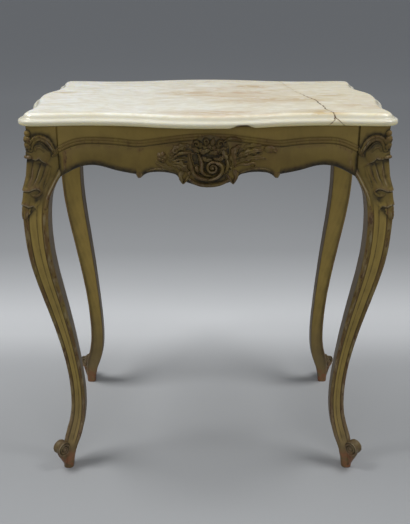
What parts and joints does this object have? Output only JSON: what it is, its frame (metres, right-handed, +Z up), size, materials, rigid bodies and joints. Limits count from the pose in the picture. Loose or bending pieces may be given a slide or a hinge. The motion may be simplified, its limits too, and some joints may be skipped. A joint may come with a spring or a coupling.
{
  "type": "pier table",
  "caption": "Carved cabriole-leg pier table with scalloped serpentine apron rails, scroll feet and a loose moulded onyx top with eared corners.",
  "frame": {"origin": "on the floor, under the middle of the table", "axes": "+Z up, the front with the main carving towards -Y, +X to the right seen from the front"},
  "size_m": [0.672, 0.462, 0.74],
  "materials": {
    "onyx": "polished cream onyx, veined",
    "gilt_wood": "olive-gilt paint over carved wood, worn on the edges",
    "bare_wood": "bare beech, aged",
    "steel": "plain"
  },
  "bodies": {
    "frame": {"leg_front_left": "gilt_wood", "leg_front_right": "gilt_wood", "leg_back_left": "gilt_wood", "leg_back_right": "gilt_wood", "front_rail": "gilt_wood", "back_rail": "gilt_wood", "left_rail": "gilt_wood", "right_rail": "gilt_wood", "front_cartouche": "gilt_wood", "back_cartouche": "gilt_wood", "left_cartouche": "gilt_wood", "right_cartouche": "gilt_wood", "corner_block_front_left": "bare_wood", "corner_block_front_right": "bare_wood", "corner_block_back_left": "bare_wood", "corner_block_back_right": "bare_wood", "corner_screws": "steel", "joint_dowels": "bare_wood", "stone_bearer": "bare_wood"},
    "top": {"onyx_top": "onyx"}
  },
  "joints": [
    {"name": "top_lift", "type": "slide", "parent": "frame", "child": "top", "axis": [0, 0, 1], "range_m": [0, 0.12]}
  ]
}
